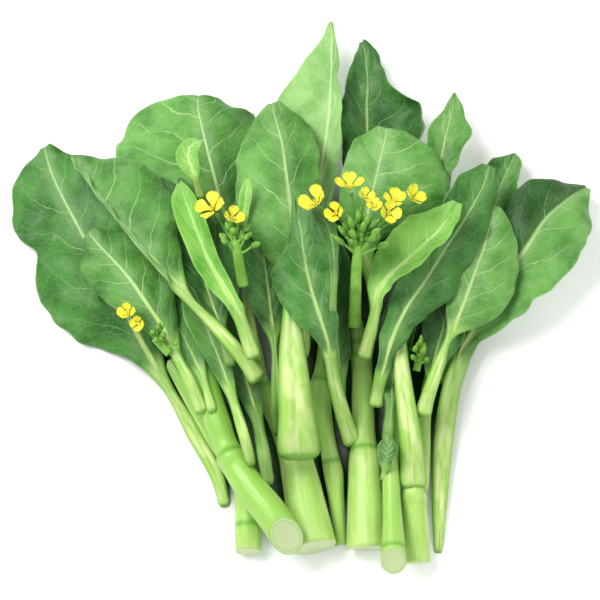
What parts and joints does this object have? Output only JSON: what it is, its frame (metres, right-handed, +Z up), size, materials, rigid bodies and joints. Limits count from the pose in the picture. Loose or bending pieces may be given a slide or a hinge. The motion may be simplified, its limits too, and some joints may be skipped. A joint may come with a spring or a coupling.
{
  "type": "choy sum bunch",
  "caption": "Loose bunch of flowering choy sum lying on its side: thick cut stalks, broad wavy leaves on long petioles, green buds and small yellow blooms.",
  "frame": {"origin": "centre of the bunch's box, on the surface that it lies on", "axes": "+X across the bunch to the right, +Y from the cut ends to the leaf tips, +Z up off the surface"},
  "size_m": [0.2894, 0.2766, 0.0794],
  "materials": {
    "stalk": "smooth waxy pale green stalk with fine lengthwise ribs",
    "leaf": "soft waxy leaf with raised pale veins",
    "leaf_dark": "soft waxy dark leaf with raised pale veins",
    "leaf_pale": "matt pale underside of a leaf",
    "bud": "smooth green bud and pedicel",
    "petal": "thin soft yellow petal"
  },
  "bodies": {
    "root": {"bloom_left_1": "petal", "bloom_left_2": "petal", "bloom_main_1": "petal", "bloom_main_2": "petal", "bloom_main_3": "petal", "bloom_main_4": "petal", "bloom_main_5": "petal", "bloom_main_6": "petal", "bloom_main_7": "petal", "bloom_main_8": "petal", "bloom_small_1": "petal", "bloom_small_2": "petal", "flower_head_closed": "bud", "flower_head_left": "bud", "flower_head_main": "bud", "flower_head_small": "bud", "leaf_back_dark": "leaf_dark", "leaf_bract": "leaf", "leaf_bright_folded": "leaf_pale", "leaf_bright_top": "leaf", "leaf_centre": "leaf", "leaf_curled": "leaf", "leaf_curly_side": "leaf", "leaf_curved_small": "leaf", "leaf_dark_a": "leaf_dark", "leaf_dark_b": "leaf", "leaf_folded_left": "leaf", "leaf_hidden_back": "leaf_dark", "leaf_hidden_left": "leaf", "leaf_left_big": "leaf", "leaf_low_left_a": "leaf", "leaf_low_left_b": "leaf", "leaf_low_left_c": "leaf", "leaf_low_right_a": "leaf", "leaf_low_right_b": "leaf", "leaf_mid_dark": "leaf_dark", "leaf_narrow": "leaf", "leaf_pale_oval": "leaf_pale", "leaf_right_big": "leaf", "leaf_right_long": "leaf", "leaf_right_oval": "leaf", "leaf_rolled": "leaf_pale", "leaf_round": "leaf", "leaf_small_round": "leaf", "leaf_tall_pale": "leaf_pale", "stalk_1": "stalk", "stalk_2": "stalk", "stalk_3": "stalk", "stalk_4": "stalk", "stalk_5": "stalk", "stalk_6": "stalk", "stalk_7": "stalk"}
  },
  "joints": []
}
